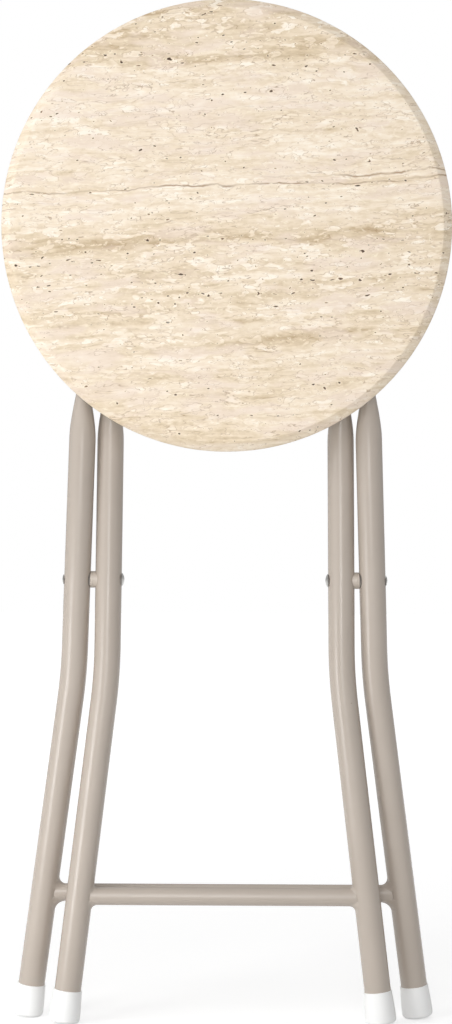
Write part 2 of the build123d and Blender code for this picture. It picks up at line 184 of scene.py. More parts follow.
    # thin veins: level lines of a long noise where the patches allow, rims of flecks, two long veins
    contour = noise(film["contour"], level, 2.6, 3.0)
    stepped = addNode(tree, "Math", "PINGPONG", {0: contour, 1: film["lineStep"]})
    lines = addNode(tree, "MapRange", smooth, {0: stepped, 1: 0.0, 2: film["lineWidth"], 3: 1.0, 4: 0.0})
    lineFade = addNode(tree, "MapRange", inputs={0: patches, 1: 0.42, 2: 0.60, 3: 0.0, 4: 0.6})
    veins = addNode(tree, "Math", "MULTIPLY", {0: lines, 1: lineFade})
    rimFade = addNode(tree, "MapRange", inputs={0: clouds[2], 1: 0.42, 2: 0.62, 3: 0.0, 4: 0.7})
    for rim in rims:
        rim = addNode(tree, "Math", "MULTIPLY", {0: rim, 1: rimFade})
        veins = addNode(tree, "Math", "MAXIMUM", {0: veins, 1: rim})
    thick = addNode(tree, "MapRange", inputs={0: clouds[3], 1: 0.35, 2: 0.65, 3: 0.4, 4: 1.3})
    veinFade = addNode(tree, "MapRange", inputs={0: clouds[2], 1: 0.38, 2: 0.56, 3: 0.3, 4: 1.0})
    for number, (height, (start, end)) in enumerate(film["veins"]):
        offVein = addNode(tree, "Math", "SUBTRACT", {0: level, 1: height})
        for size, sway in film["wander"]:
            offVein = added(noise(size, (split, 1), 8.5 + number), 2 * sway, offVein)
        offVein = addNode(tree, "Math", "ABSOLUTE", {0: offVein})
        vein = addNode(tree, "MapRange", smooth, {0: offVein, 1: 0.1, 2: thick, 3: 0.85, 4: 0.0})
        comesIn = addNode(tree, "MapRange", inputs={0: split, 1: start, 2: end, 3: 0.0, 4: 1.0})
        vein = addNode(tree, "Math", "MULTIPLY", {0: vein, 1: comesIn})
        vein = addNode(tree, "Math", "MULTIPLY", {0: vein, 1: veinFade})
        veins = addNode(tree, "Math", "MAXIMUM", {0: veins, 1: vein})
    body = blended(veins, (body, 2), film["vein"])

    # pits with pale lips, small holes and longer slits: the peaks of two noises, lower where pits are many
    for number, (size, few, many) in enumerate(film["pits"]):
        limit = addNode(tree, "MapRange", inputs={0: (layers, 1), 3: few, 4: many})
        limit = added(clouds[1], 0.3, limit)
        peaks = noise(size, level, 4.0 * number, 1.0)
        into = addNode(tree, "Math", "SUBTRACT", {0: peaks, 1: limit})
        for colour, start, end, strength in film["pitRings"]:
            ring = addNode(tree, "MapRange", inputs={0: into, 1: start, 2: end, 3: 0.0, 4: strength})
            body = blended(ring, (body, 2), film[colour])

    tree.links.new(body.outputs[2], shader.inputs["Base Color"])
    sheen = addNode(tree, "MapRange", inputs={
        0: clouds[0], 1: 0.3, 2: 0.7, 3: film["gloss"][0], 4: film["gloss"][1]})
    tree.links.new(sheen.outputs[0], shader.inputs["Roughness"])
    shader.inputs["IOR"].default_value = 1.5
    return material


# The even finishes: two close tones in clouds, a fine grain in the surface, a slightly uneven gloss.
def clouded(name, look):
    material, tree, shader = newMaterial(name)
    where = addNode(tree, "TexCoord")
    clouds = addNode(tree, "TexNoise", inputs={
        "Vector": (where, "Object"), "Scale": 1000 / look["cloud"], "Detail": look["cloudDetail"]})
    colour = addNode(tree, "Mix", {"data_type": "RGBA"},
                     {0: clouds, 6: linear(look["colour"]), 7: linear(look["shade"])})
    tree.links.new(colour.outputs[2], shader.inputs["Base Color"])
    grain = addNode(tree, "TexNoise", inputs={
        "Vector": (where, "Object"), "Scale": 1000 / look["grain"], "Detail": look["grainDetail"]})
    bump = addNode(tree, "Bump", inputs={"Strength": look["bump"], "Distance": 0.0001, "Height": grain})
    tree.links.new(bump.outputs[0], shader.inputs["Normal"])
    gloss = addNode(tree, "MapRange", inputs={
        0: clouds, 1: 0.3, 2: 0.7, 3: look["gloss"][0], 4: look["gloss"][1]})
    tree.links.new(gloss.outputs[0], shader.inputs["Roughness"])
    shader.inputs["IOR"].default_value = look["ior"]
    return material, shader, colour


# Powder-coated steel tube: warm grey, semi-gloss, with faint orange peel and rare specks.
def greigePowderCoat():
    coat = {"colour": "#BBB0A5", "shade": "#B3A89D", "cloud": 38.0, "cloudDetail": 3.0, "grain": 1.4,
            "grainDetail": 1.0, "bump": 0.06, "gloss": (0.20, 0.25), "ior": 1.5,
            "speck": "#8B8177", "speckCell": 26.0, "speckEdge": (0.012, 0.02), "speckStrength": 0.7}
    material, shader, colour = clouded("greigePowderCoatSemiGloss", coat)
    tree = material.node_tree
    where = addNode(tree, "TexCoord")
    cells = addNode(tree, "TexVoronoi", inputs={
        "Vector": (where, "Object"), "Scale": 1000 / coat["speckCell"]})
    specks = addNode(tree, "MapRange", inputs={
        0: cells, 1: coat["speckEdge"][0], 2: coat["speckEdge"][1], 3: coat["speckStrength"], 4: 0.0})
    colour = addNode(tree, "Mix", {"data_type": "RGBA"},
                     {0: specks, 6: (colour, 2), 7: linear(coat["speck"])})
    tree.links.new(colour.outputs[2], shader.inputs["Base Color"])
    return material


# Moulded plastic: even colour, slight mould texture, soft satin gloss; light goes a little way in.
def mouldedPlastic(name, plastic):
    material, shader = clouded(name, dict(plastic, cloudDetail=2.0, grainDetail=2.0, bump=0.15))[:2]
    shader.inputs["Subsurface Weight"].default_value = plastic["glow"]
    shader.inputs["Subsurface Radius"].default_value = (1.0, 1.0, 1.0)
    shader.inputs["Subsurface Scale"].default_value = 0.004
    return material


# Zinc-plated steel: pale bluish grey metal, bright, faintly clouded by the passivation.
def zincPlatedSteel():
    material, shader = clouded("zincPlatedSteelBright", {
        "colour": "#D3D2CE", "shade": "#C3C3C2", "cloud": 7.0, "cloudDetail": 4.0, "grain": 0.6,
        "grainDetail": 3.0, "bump": 0.08, "gloss": (0.32, 0.42), "ior": 1.5})[:2]
    shader.inputs["Metallic"].default_value = 1.0
    return material


# Pressed fibre, raw on a board or printed plain on paper: matt, with short fibres in every direction.
def pressedFibre(name, fibre):
    material, tree, shader = newMaterial(name)
    where = addNode(tree, "TexCoord")
    strands = addNode(tree, "TexNoise", inputs={
        "Vector": (where, "Object"), "Scale": 1000 / fibre["strand"], "Detail": 5.0, "Roughness": 0.7,
        "Distortion": 1.5})
    mix = addNode(tree, "MapRange", inputs={0: strands, 1: 0.35, 2: 0.65, 3: 0.0, 4: 1.0})
    colour = addNode(tree, "Mix", {"data_type": "RGBA"},
                     {0: mix, 6: linear(fibre["colour"]), 7: linear(fibre["shade"])})
    tree.links.new(colour.outputs[2], shader.inputs["Base Color"])
    bump = addNode(tree, "Bump", inputs={"Strength": 0.25, "Distance": 0.0001, "Height": strands})
    tree.links.new(bump.outputs[0], shader.inputs["Normal"])
    shader.inputs["Roughness"].default_value = fibre["gloss"]
    shader.inputs["IOR"].default_value = 1.48
    return material


finishes = {
    "travertine_foil": travertineFilm(),
    "frame_paint": greigePowderCoat(),
    "white_cap": mouldedPlastic("whitePolyethyleneMoulded", {
        "colour": "#F8F8F7", "shade": "#F4F4F3", "cloud": 14.0, "grain": 0.9, "gloss": (0.37, 0.44),
        "ior": 1.51, "glow": 0.05}),
    "clip_plastic": mouldedPlastic("ivoryNylonMoulded", {
        "colour": "#ECE8DF", "shade": "#E4DFD4", "cloud": 9.0, "grain": 0.8, "gloss": (0.35, 0.42),
        "ior": 1.53, "glow": 0.4}),
    "nylon_saddle": mouldedPlastic("greigeNylonMoulded", {
        "colour": "#C8BDB1", "shade": "#BFB3A6", "cloud": 6.0, "grain": 0.8, "gloss": (0.29, 0.36),
        "ior": 1.53, "glow": 0.0}),
    "zinc_steel": zincPlatedSteel(),
    "fibreboard": pressedFibre("fibreboardPressed", {
        "colour": "#A98A63", "shade": "#8E7150", "strand": 1.6, "gloss": 0.85}),
    "backing_sheet": pressedFibre("backingPaperMatt", {
        "colour": "#E2DDD3", "shade": "#D7D1C6", "strand": 1.1, "gloss": 0.7}),
}
for part in frame["record"]["subparts"]:
    node = frame["nodes"][part["node"]]
    node.data.materials.clear()
    node.data.materials.append(finishes[part["material_slot"]])
print("finishes made", len(finishes))


def finishPiece(mesh, name, body, slot, nodes, sharp=35.0):
    mesh.transform(places[body])
    mesh.materials.clear()
    mesh.materials.append(finishes[slot])
    mesh.polygons.foreach_set("use_smooth", [True] * len(mesh.polygons))
    mesh.set_sharp_from_angle(angle=math.radians(sharp))
    piece = bpy.data.objects.new(name, mesh)
    bpy.context.scene.collection.objects.link(piece)
    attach(piece, body)
    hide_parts(*nodes)


def meshFrom(points, faces=(), edges=()):
    mesh = bpy.data.meshes.new("draft")
    mesh.from_pydata(points, edges, faces)
    mesh.update()
    return mesh


def turned(profile, steps):  # an outline of radius and height, turned about Z
    points = []
    faces = []
    rings = []
    for radius, height in profile:
        if radius == 0:
            rings.append([len(points)] * steps)
            points.append((0, 0, height))
            continue
        rings.append(list(range(len(points), len(points) + steps)))
        for i in range(steps):
            angle = 2 * math.pi * i / steps
            points.append((radius * math.cos(angle), radius * math.sin(angle), height))
    for low, high in zip(rings, rings[1:]):
        for i in range(steps):
            k = (i + 1) % steps
            corners = [low[i], low[k], high[k], high[i]]
            face = [c for n, c in enumerate(corners) if c not in corners[:n]]
            if len(face) > 2:
                faces.append(face)
    return meshFrom(points, faces)


def arc(centre, radius, start, end, steps):
    angles = [math.radians(start + (end - start) * i / steps) for i in range(steps + 1)]
    return [(centre[0] + radius * math.cos(a), centre[1] + radius * math.sin(a)) for a in angles]


def outward(mesh):  # all faces turned outwards
    tidy = bmesh.new()
    tidy.from_mesh(mesh)
    bmesh.ops.recalc_face_normals(tidy, faces=tidy.faces)
    tidy.to_mesh(mesh)
    tidy.free()
    return mesh


def carved(mesh, cutter):  # the mesh with the cutter's shape taken out of it
    whole = bpy.data.objects.new("whole", mesh)
    tool = bpy.data.objects.new("tool", cutter)
    for draft in (whole, tool):
        bpy.context.scene.collection.objects.link(draft)
    carve = whole.modifiers.new("carve", "BOOLEAN")
    carve.operation = "DIFFERENCE"
    carve.object = tool
    carve.use_self = True
    result = bpy.data.meshes.new_from_object(whole.evaluated_get(bpy.context.evaluated_depsgraph_get()))
    for draft in (whole, tool):
        bpy.data.objects.remove(draft)
    return result


def newTree(name, sockets):
    tree = bpy.data.node_groups.new(name, "GeometryNodeTree")
    for label, kind in sockets.items():
        tree.interface.new_socket(name=label, in_out="INPUT", socket_type="NodeSocket" + kind)
    tree.interface.new_socket(name="Geometry", in_out="OUTPUT", socket_type="NodeSocketGeometry")
    return tree, addNode(tree, "NodeGroupInput")


def closeTree(tree, geometry, given):
    whole = addNode(tree, "GeometryNodeRealizeInstances", inputs={0: geometry})
    painted = addNode(tree, "GeometryNodeSetMaterial",
                      inputs={"Geometry": whole, "Material": (given, "Material")})
    addNode(tree, "NodeGroupOutput", inputs={0: painted})


def grow(tree, carrier, values):  # runs a tree on a carrier mesh and returns a plain mesh
    holder = bpy.data.objects.new("holder", carrier)
    bpy.context.scene.collection.objects.link(holder)
    modifier = holder.modifiers.new("grow", "NODES")
    modifier.node_group = tree
    for socket in tree.interface.items_tree:
        if socket.in_out == "INPUT" and socket.name in values:
            modifier[socket.identifier] = values[socket.name]
    seen = holder.evaluated_get(bpy.context.evaluated_depsgraph_get())
    mesh = bpy.data.meshes.new_from_object(seen)
    bpy.data.objects.remove(holder)
    return mesh


# Leg tube: swept along foot, knee and top, its upper end pressed flat with an unchanged outline length
def pressedLegTree():
    tree, given = newTree("pressedLegTube", {
        "Geometry": "Geometry", "Tube Radius": "Float", "Wall": "Float", "Knee Radius": "Float",
        "Taper Start": "Float", "Taper Length": "Float", "Hole Rise": "Float", "Lug Radius": "Float",
        "Ring Spacing": "Float", "Sides": "Int", "Material": "Material"})
    radius = (given, "Tube Radius")
    line = addNode(tree, "GeometryNodeMeshToCurve", inputs={0: given})
    index = addNode(tree, "GeometryNodeInputIndex")
    atKnee = addNode(tree, "FunctionNodeCompare", {"data_type": "INT", "operation": "EQUAL"},
                     {2: index, 3: 1})
    bend = addNode(tree, "Math", "MULTIPLY", {0: atKnee, 1: (given, "Knee Radius")})
    path = addNode(tree, "GeometryNodeFilletCurve", {"mode": "POLY"},
                   {"Curve": line, "Radius": bend, "Count": 24})
    path = addNode(tree, "GeometryNodeResampleCurve", {"mode": "LENGTH"},
                   {"Curve": path, "Length": (given, "Ring Spacing")})
    kept = tree.nodes.new("GeometryNodeCaptureAttribute")
    kept.capture_items.new("VECTOR", "Centre")
    kept.capture_items.new("VECTOR", "Tangent")
    place = addNode(tree, "GeometryNodeInputPosition")
    tangent = addNode(tree, "GeometryNodeInputTangent")
    tree.links.new(path.outputs[0], kept.inputs[0])
    tree.links.new(place.outputs[0], kept.inputs["Centre"])
    tree.links.new(tangent.outputs[0], kept.inputs["Tangent"])
    ring = addNode(tree, "GeometryNodeCurvePrimitiveCircle",
                   inputs={"Resolution": (given, "Sides"), "Radius": radius})
    tube = addNode(tree, "GeometryNodeCurveToMesh", inputs={
        "Curve": (kept, 0), "Profile Curve": ring, "Fill Caps": True})

    # each point's place on the round ring, as a length round a quarter of the outline
    centre = (kept, "Centre")
    side = addNode(tree, "VectorMath", "CROSS_PRODUCT", {0: (0, 1, 0), 1: (kept, "Tangent")})
    side = addNode(tree, "VectorMath", "NORMALIZE", {0: side})
    out = addNode(tree, "VectorMath", "SUBTRACT", {0: place, 1: centre})
    outX = addNode(tree, "VectorMath", "DOT_PRODUCT", {0: out, 1: side})
    outY = addNode(tree, "VectorMath", "DOT_PRODUCT", {0: out, 1: (0, 1, 0)})
    absX = addNode(tree, "Math", "ABSOLUTE", {0: (outX, 1)})
    absY = addNode(tree, "Math", "ABSOLUTE", {0: (outY, 1)})
    turn = addNode(tree, "Math", "ARCTAN2", {0: absY, 1: absX})
    along = addNode(tree, "Math", "MULTIPLY", {0: turn, 1: radius})

    # half thickness falls smoothly from the tube's radius to one wall, and the flats grow to match
    height = addNode(tree, "SeparateXYZ", inputs={0: centre})
    taperEnd = addNode(tree, "Math", "ADD", {0: (given, "Taper Start"), 1: (given, "Taper Length")})
    half = addNode(tree, "MapRange", smooth,
                   {0: (height, 2), 1: (given, "Taper Start"), 2: taperEnd, 3: radius, 4: (given, "Wall")})
    flat = addNode(tree, "Math", "SUBTRACT", {0: radius, 1: half})
    flat = addNode(tree, "Math", "MULTIPLY", {0: flat, 1: math.pi / 2})
    past = addNode(tree, "Math", "SUBTRACT", {0: along, 1: flat})
    past = addNode(tree, "Math", "MAXIMUM", {0: past, 1: 0.0})
    past = addNode(tree, "Math", "DIVIDE", {0: past, 1: half})
    cosPast = addNode(tree, "Math", "COSINE", {0: past})
    sinPast = addNode(tree, "Math", "SINE", {0: past})
    newX = addNode(tree, "Math", "MULTIPLY", {0: half, 1: cosPast})
    onFlat = addNode(tree, "Math", "MINIMUM", {0: along, 1: flat})
    newY = addNode(tree, "Math", "MULTIPLY_ADD", {0: half, 1: sinPast, 2: onFlat})

    # above the hole the lug is cut round, and its rings close up towards the tip
    overHole = addNode(tree, "Math", "SUBTRACT", {0: (height, 2), 1: (given, "Hole Rise")})
    overHole = addNode(tree, "Math", "MAXIMUM", {0: overHole, 1: 0.0})
    quarter = addNode(tree, "Math", "DIVIDE", {0: overHole, 1: (given, "Lug Radius")})
    quarter = addNode(tree, "Math", "MULTIPLY", {0: quarter, 1: math.pi / 2 * 0.98})
    reach = addNode(tree, "Math", "COSINE", {0: quarter})
    reach = addNode(tree, "Math", "MULTIPLY", {0: reach, 1: (given, "Lug Radius")})
    newY = addNode(tree, "Math", "MINIMUM", {0: newY, 1: reach})
    climb = addNode(tree, "Math", "SINE", {0: quarter})
    climb = addNode(tree, "Math", "MULTIPLY", {0: climb, 1: (given, "Lug Radius")})
    climb = addNode(tree, "Math", "SUBTRACT", {0: climb, 1: overHole})

    signX = addNode(tree, "Math", "SIGN", {0: (outX, 1)})
    signY = addNode(tree, "Math", "SIGN", {0: (outY, 1)})
    newX = addNode(tree, "Math", "MULTIPLY", {0: newX, 1: signX})
    newY = addNode(tree, "Math", "MULTIPLY", {0: newY, 1: signY})
    across = addNode(tree, "VectorMath", "SCALE", {0: side, "Scale": newX})
    inDepth = addNode(tree, "CombineXYZ", inputs={1: newY, 2: climb})
    moved = addNode(tree, "VectorMath", "ADD", {0: centre, 1: across})
    moved = addNode(tree, "VectorMath", "ADD", {0: moved, 1: inDepth})
    pressed = addNode(tree, "GeometryNodeSetPosition", inputs={"Geometry": tube, "Position": moved})
    merged = addNode(tree, "GeometryNodeMergeByDistance", inputs={"Geometry": pressed, "Distance": 0.01})
    closeTree(tree, merged, given)
    return tree


legSizes = {
    "Tube Radius": 9.0, "Wall": 1.2, "Knee Radius": 350.0, "Taper Start": 94.1, "Taper Length": 57.0,
    "Lug Radius": 14.0, "Ring Spacing": 2.5, "Sides": 48}
legRuns = {  # path: X and Z of foot end, knee, taper start, lug base and lug top
    "outer": {"body": "outer_frame", "hole": 165.1,
              "path": [(133.147, -293.512), (102.523, -64.0), (97.278, 94.1), (96.333, 151.1),
                       (96.333, 179.1)],
              "pocket": {"depth": 2.25, "rise": 4.8, "from": 89.0, "to": 104.0}},
    "inner": {"body": "inner_frame", "hole": 159.1,
              "path": [(106.678, -293.628), (79.703, -64.0), (78.461, 94.1), (78.237, 151.1),
                       (78.237, 173.1)],
              "pocket": {"depth": 1.85, "rise": 4.0, "from": 68.0, "to": 80.0}},
}
pocketWeb = 1.0  # stays between the pockets before and behind the pivot rivet
legTree = pressedLegTree()
for frameName, run in legRuns.items():
    for sideName, sign in (("right", 1), ("left", -1)):
        points = [(sign * x, 0, z) for x, z in run["path"]]
        carrier = meshFrom(points, edges=[(i, i + 1) for i in range(len(points) - 1)])
        values = dict(legSizes, Material=finishes["frame_paint"])
        values["Hole Rise"] = run["hole"]
        legMesh = grow(legTree, carrier, values)
        pocket = run["pocket"]
        outline = [(0, pocket["from"]), (1, pocket["from"]), (1, pocket["to"]), (0, pocket["to"])]
        for facing in (-1, 1):
            drill = turned(outline, legSizes["Sides"])
            drill.transform(Matrix.Translation((0, facing * (pocket["depth"] + pocketWeb / 2), 0))
                            @ Matrix.Diagonal((1, pocket["depth"], pocket["rise"], 1))
                            @ Matrix.Rotation(sign * math.pi / 2, 4, "Y"))
            legMesh = carved(legMesh, outward(drill))
        finishPiece(legMesh, f"{frameName}LegTube.{sideName}", run["body"], "frame_paint",
                    [f"{frameName}_leg_{sideName}"], 50.0)
print("legs swept and pressed")


# Cross tube: each line along it is stretched to end just short of the round leg
def crossTubeTree():
    tree, given = newTree("copedCrossTube", {
        "Geometry": "Geometry", "Reach": "Float", "Drop": "Float", "Tube Radius": "Float",
        "Leg Radius": "Float", "Splay": "Float", "Gap": "Float", "Sides": "Int", "Material": "Material"})
    line = addNode(tree, "GeometryNodeCurvePrimitiveLine", inputs={"Start": (-1, 0, 0), "End": (1, 0, 0)})
    line = addNode(tree, "GeometryNodeResampleCurve", {"mode": "COUNT"}, {"Curve": line, "Count": 25})
    ring = addNode(tree, "GeometryNodeCurvePrimitiveCircle",
                   inputs={"Resolution": (given, "Sides"), "Radius": (given, "Tube Radius")})
    tube = addNode(tree, "GeometryNodeCurveToMesh",
                   inputs={"Curve": line, "Profile Curve": ring, "Fill Caps": True})
    place = addNode(tree, "GeometryNodeInputPosition")
    split = addNode(tree, "SeparateXYZ", inputs={0: place})
    tangent = addNode(tree, "Math", "TANGENT", {0: (given, "Splay")})
    cosine = addNode(tree, "Math", "COSINE", {0: (given, "Splay")})
    slide = addNode(tree, "Math", "MULTIPLY", {0: (split, 2), 1: tangent})
    legSquare = addNode(tree, "Math", "POWER", {0: (given, "Leg Radius"), 1: 2.0})
    ySquare = addNode(tree, "Math", "POWER", {0: (split, 1), 1: 2.0})
    depth = addNode(tree, "Math", "SUBTRACT", {0: legSquare, 1: ySquare})
    depth = addNode(tree, "Math", "SQRT", {0: depth})
    depth = addNode(tree, "Math", "DIVIDE", {0: depth, 1: cosine})
    end = addNode(tree, "Math", "SUBTRACT", {0: (given, "Reach"), 1: slide})
    end = addNode(tree, "Math", "SUBTRACT", {0: end, 1: depth})
    end = addNode(tree, "Math", "SUBTRACT", {0: end, 1: (given, "Gap")})
    newX = addNode(tree, "Math", "MULTIPLY", {0: split, 1: end})
    newZ = addNode(tree, "Math", "SUBTRACT", {0: (split, 2), 1: (given, "Drop")})
    moved = addNode(tree, "CombineXYZ", inputs={0: newX, 1: (split, 1), 2: newZ})
    coped = addNode(tree, "GeometryNodeSetPosition", inputs={"Geometry": tube, "Position": moved})
    closeTree(tree, coped, given)
    return tree


# Weld beads above and below each end of a cross tube: hollow fillets with faint ripples
def weldBeads(cross, weld):
    bar = cross["Tube Radius"]
    legRadius = cross["Leg Radius"]
    splay = cross["Splay"]
    points = []
    faces = []

    def legFace(radial, angle):  # X where the leg's surface stands at this place round the bar
        y = radial * math.cos(angle)
        return (cross["Reach"] - radial * math.sin(angle) * math.tan(splay)
                - math.sqrt(legRadius ** 2 - y ** 2) / math.cos(splay))

    rows = weld["rows"]
    hollow = weld["hollow"]
    under = bar - weld["sunk"]
    for sign in (1, -1):
        for middle, alongBar, alongLeg in weld["beads"]:
            first = len(points)
            for row in range(rows + 1):
                share = 2 * row / rows - 1
                angle = math.radians(middle + share * weld["spread"])
                swell = (1 - share ** 2) ** 0.6
                ripple = 1 + weld["ripple"] * math.sin(row * weld["ripplePitch"] + middle)
                wide = max(weld["least"], alongBar * swell * ripple)
                tall = max(weld["least"], alongLeg * swell * ripple)
                foot = (legFace(bar, angle) - wide, bar)
                top = (legFace(bar + tall, angle), bar + tall)
                corner = (legFace(bar, angle), bar)
                pull = [(1 - hollow) * (foot[i] + top[i]) / 2 + hollow * corner[i] for i in (0, 1)]
                outline = [(foot[0], under)]
                for step in range(9):
                    q = step / 8
                    outline.append(tuple((1 - q) ** 2 * foot[i] + 2 * q * (1 - q) * pull[i] + q * q * top[i]
                                         for i in (0, 1)))
                outline += [(top[0] + weld["intoLeg"], top[1]), (corner[0] + weld["intoLeg"], under)]
                for x, radial in outline:
                    z = radial * math.sin(angle) - cross["Drop"]
                    points.append((sign * x, radial * math.cos(angle), z))
            ring = len(outline)
            for row in range(rows):
                for i in range(ring):
                    k = (i + 1) % ring
                    a = first + row * ring
                    faces.append([a + i, a + k, a + ring + k, a + ring + i])
            faces.append([first + i for i in range(ring)])
            faces.append([first + rows * ring + i for i in reversed(range(ring))])
    return outward(meshFrom(points, faces))


crossSizes = {"Drop": 214.4, "Tube Radius": 6.0, "Leg Radius": 9.0, "Gap": 0.35, "Sides": 48}
weldSizes = {"spread": 68.0, "rows": 40, "ripple": 0.05, "ripplePitch": 0.9, "least": 0.15, "hollow": 0.72,
             "sunk": 0.4, "intoLeg": 0.6}
crossRuns = {  # the beads are given by their angle round the bar and their legs along bar and tube
    "outer": {"body": "outer_frame", "Reach": 122.591, "Splay": math.radians(7.6),
              "beads": [(90.0, 4.6, 4.8), (270.0, 5.6, 5.6)]},
    "inner": {"body": "inner_frame", "Reach": 97.371, "Splay": math.radians(6.7),
              "beads": [(90.0, 2.2, 2.2), (270.0, 3.4, 3.2)]},
}
crossTree = crossTubeTree()
for frameName, run in crossRuns.items():
    values = dict(crossSizes, Reach=run["Reach"], Splay=run["Splay"], Material=finishes["frame_paint"])
    tubeMesh = grow(crossTree, meshFrom([(0, 0, 0)]), values)
    finishPiece(tubeMesh, f"{frameName}CrossTube", run["body"], "frame_paint", [f"{frameName}_stretcher"])
    beadMesh = weldBeads(values, dict(weldSizes, beads=run["beads"]))
    finishPiece(beadMesh, f"{frameName}WeldBeads", run["body"], "frame_paint", [f"{frameName}_welds"], 60.0)
print("cross tubes and welds made")


# Foot cap: a moulded cup with a rounded sole, a slight draft and a thin rim
def footCap(cap):
    bottom = cap["soleRadius"] - cap["soleRound"]
    side = cap["floor"] + cap["soleRound"]
    profile = [(0, cap["dish"]), (bottom - 3.0, cap["dish"]), (bottom - 2.0, 0.0)]
    profile += arc((bottom, cap["soleRound"]), cap["soleRound"], -90, 0, 8)
    profile += [(cap["soleRadius"], side - 2.0), (cap["soleRadius"] - 0.03, side)]
    rim = (cap["rimRadius"] - cap["rimRound"], cap["length"] - cap["rimRound"])
    profile += arc(rim, cap["rimRound"], 5, 90, 4)
    profile += [(cap["bore"], cap["length"]), (cap["bore"], cap["floor"]), (0, cap["floor"])]
    return turned(profile, 64)


capSizes = {"soleRadius": 10.52, "soleRound": 2.5, "rimRadius": 9.62, "rimRound": 0.35, "bore": 9.02,
            "length": 21.5, "floor": 5.0, "dish": 0.5}
capPlaces = {  # X and Z of the sole's middle, and the lean of the leg
    "outer": ("outer_frame", 133.808, -298.469, 7.6),
    "inner": ("inner_frame", 107.261, -298.594, 6.7),
}
for frameName, (body, x, z, splay) in capPlaces.items():
    for sideName, sign in (("right", 1), ("left", -1)):
        capMesh = footCap(capSizes)
        tilt = Matrix.Rotation(math.radians(-sign * splay), 4, "Y")
        capMesh.transform(Matrix.Translation((sign * x, 0, z)) @ tilt)
        finishPiece(capMesh, f"{frameName}FootCap.{sideName}", body, "white_cap",
                    [f"{frameName}_cap_{sideName}"])
print("foot caps moulded")


# Pivot saddle: a spacer half with one flat face, whose other end follows the round leg or just meets it
def saddleHalf(saddle):
    toLeg = 1 if saddle["legX"] > saddle["seam"] else -1
    steps = 56
    points = []
    faces = []
    for i in range(steps):
        angle = 2 * math.pi * i / steps
        ring = [(saddle["bore"], saddle["seam"]), (saddle["radius"] - saddle["ease"], saddle["seam"]),
                (saddle["radius"], saddle["seam"] + saddle["ease"] * toLeg)]
        for inset, extra in saddle["rim"] + [(saddle["radius"] - saddle["bore"], 0.0)]:
            radial = saddle["radius"] - inset
            y = radial * math.cos(angle) * saddle["fitted"]
            z = radial * math.sin(angle)
            surface = math.sqrt(saddle["legRadius"] ** 2 - y ** 2) / math.cos(saddle["splay"])
            end = saddle["legX"] - z * math.tan(saddle["splay"]) - toLeg * (surface + extra)
            ring.append((radial, end))
        points += [(x, radial * math.cos(angle), radial * math.sin(angle)) for radial, x in ring]
    count = len(ring)
    for i in range(steps):
        k = (i + 1) % steps
        for j in range(count):
            n = (j + 1) % count
            faces.append((i * count + j, i * count + n, k * count + n, k * count + j))
    return meshFrom(points, faces)


saddleSizes = {"radius": 5.7, "bore": 3.05, "legRadius": 9.0, "ease": 0.06,
               "rim": [(0.1, 0.15), (0.3, 0.0)]}
saddleRuns = {  # fitted 1 follows the round leg, 0 is a straight end that only touches it
    "outer": {"body": "outer_frame", "legX": 100.4, "splay": math.radians(1.9), "seam": 89.82,
              "fitted": 0.0},
    "inner": {"body": "inner_frame", "legX": 79.2, "splay": math.radians(0.45), "seam": 89.78,
              "fitted": 1.0},
}
for frameName, run in saddleRuns.items():
    for sideName, sign in (("right", 1), ("left", -1)):
        saddleMesh = saddleHalf(dict(saddleSizes, **run))
        saddleMesh.transform(Matrix.Scale(sign, 4, (1, 0, 0)))
        finishPiece(outward(saddleMesh), f"{frameName}Saddle.{sideName}", run["body"], "nylon_saddle",
                    [f"{frameName}_saddle_{sideName}"])
print("pivot saddles made")


